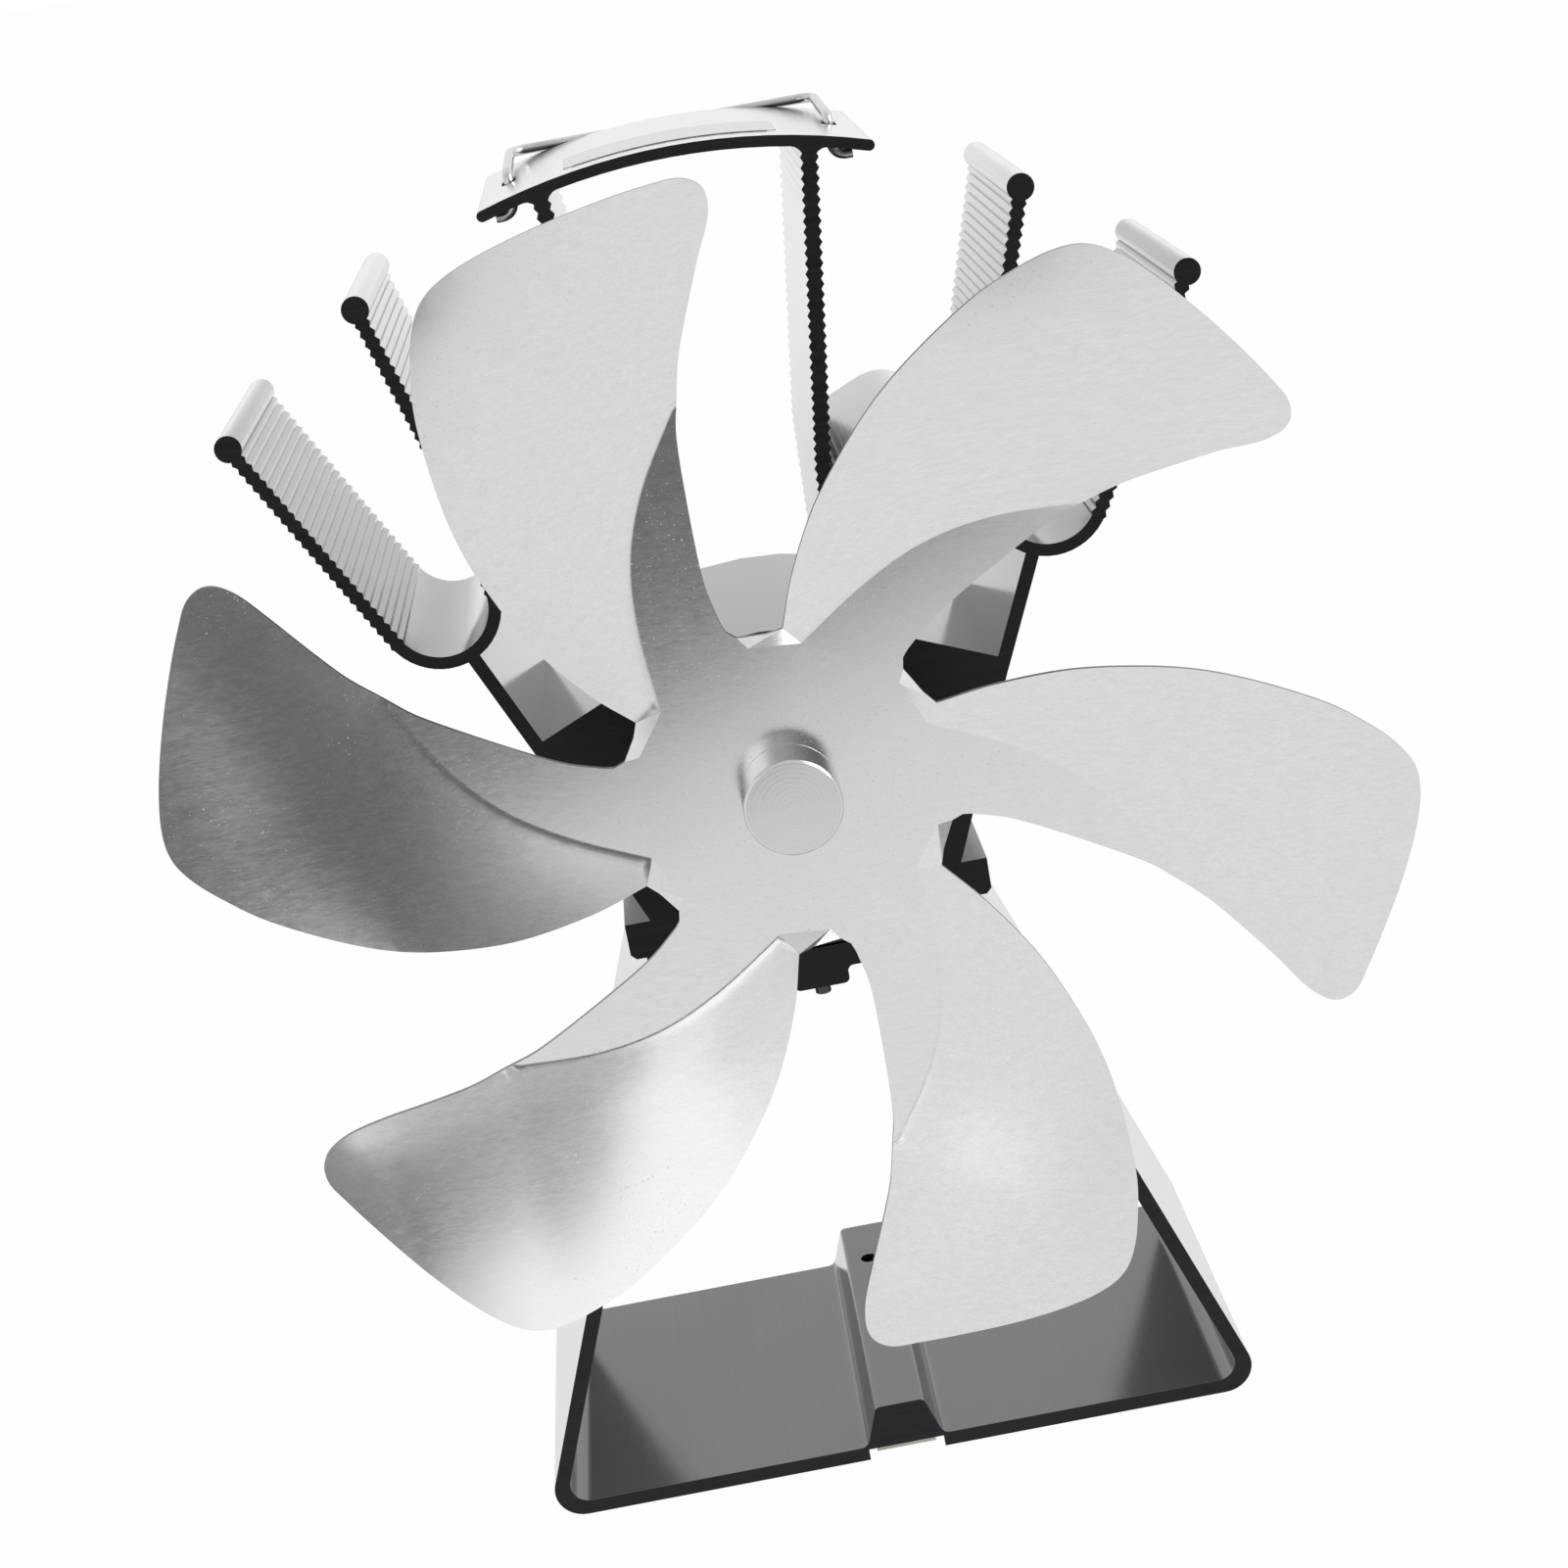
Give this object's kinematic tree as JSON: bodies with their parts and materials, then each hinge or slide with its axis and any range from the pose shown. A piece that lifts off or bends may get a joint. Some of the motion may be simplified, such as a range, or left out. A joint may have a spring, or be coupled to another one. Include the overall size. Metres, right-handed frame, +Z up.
{
  "type": "stove fan",
  "caption": "Heat-powered stove fan with a sloping open base, black finned heat sink, six curved bright blades and a wire carry handle.",
  "frame": {"origin": "middle of the bounding box at the height the base stands on", "axes": "+Z up, +X to the right seen from the front, +Y to the back; the fan is at the front"},
  "size_m": [0.169, 0.0951, 0.2092],
  "materials": {
    "black_anodised": "black anodised, sawn ends",
    "brushed_aluminium": "brushed",
    "turned_aluminium": "turned",
    "steel_wire": "bright wire",
    "screw_steel": "darkened steel",
    "motor_steel": "drawn and plated",
    "bronze": "sintered",
    "copper": "copper",
    "brass": "stamped",
    "bimetal": "rolled",
    "ceramic": "ceramic, matt",
    "graphite": "graphite, matt",
    "gasket": "silicone, matt",
    "dark_plastic": "moulded",
    "magnet": "ferrite, matt",
    "red_lead": "silicone jacket",
    "black_lead": "silicone jacket"
  },
  "bodies": {
    "frame": {"base_frame": "black_anodised", "bimetal_strip": "bimetal", "bimetal_rivet": "screw_steel", "hot_pad": "graphite", "hot_plate": "ceramic", "couple_slab": "copper", "cold_plate": "ceramic", "cold_pad": "graphite", "gasket": "gasket", "clamp_screw_front": "screw_steel", "clamp_screw_rear": "screw_steel", "heat_sink": "black_anodised", "motor_can": "motor_steel", "front_bearing": "bronze", "rear_bearing": "bronze", "motor_end_cap": "dark_plastic", "terminal_left": "brass", "terminal_right": "brass", "magnet_left": "magnet", "magnet_right": "magnet", "brush_left": "graphite", "brush_right": "graphite", "lead_red": "red_lead", "lead_black": "black_lead"},
    "fan_rotor": {"motor_shaft": "screw_steel", "armature_core": "screw_steel", "motor_winding": "copper", "commutator": "copper", "fan_blades": "brushed_aluminium", "hub_knob": "turned_aluminium", "hub_flange": "turned_aluminium", "grub_screw": "screw_steel"},
    "handle": {"carry_handle": "steel_wire"}
  },
  "joints": [
    {"name": "fan_spin", "type": "hinge", "parent": "frame", "child": "fan_rotor", "pos_m": [0, -0.03585, 0.1223], "axis": [0, 1, 0], "continuous": true},
    {"name": "handle_swing", "type": "hinge", "parent": "frame", "child": "handle", "pos_m": [0, 0.00725, 0.20542], "axis": [1, 0, 0], "range_deg": [0, 45]}
  ]
}
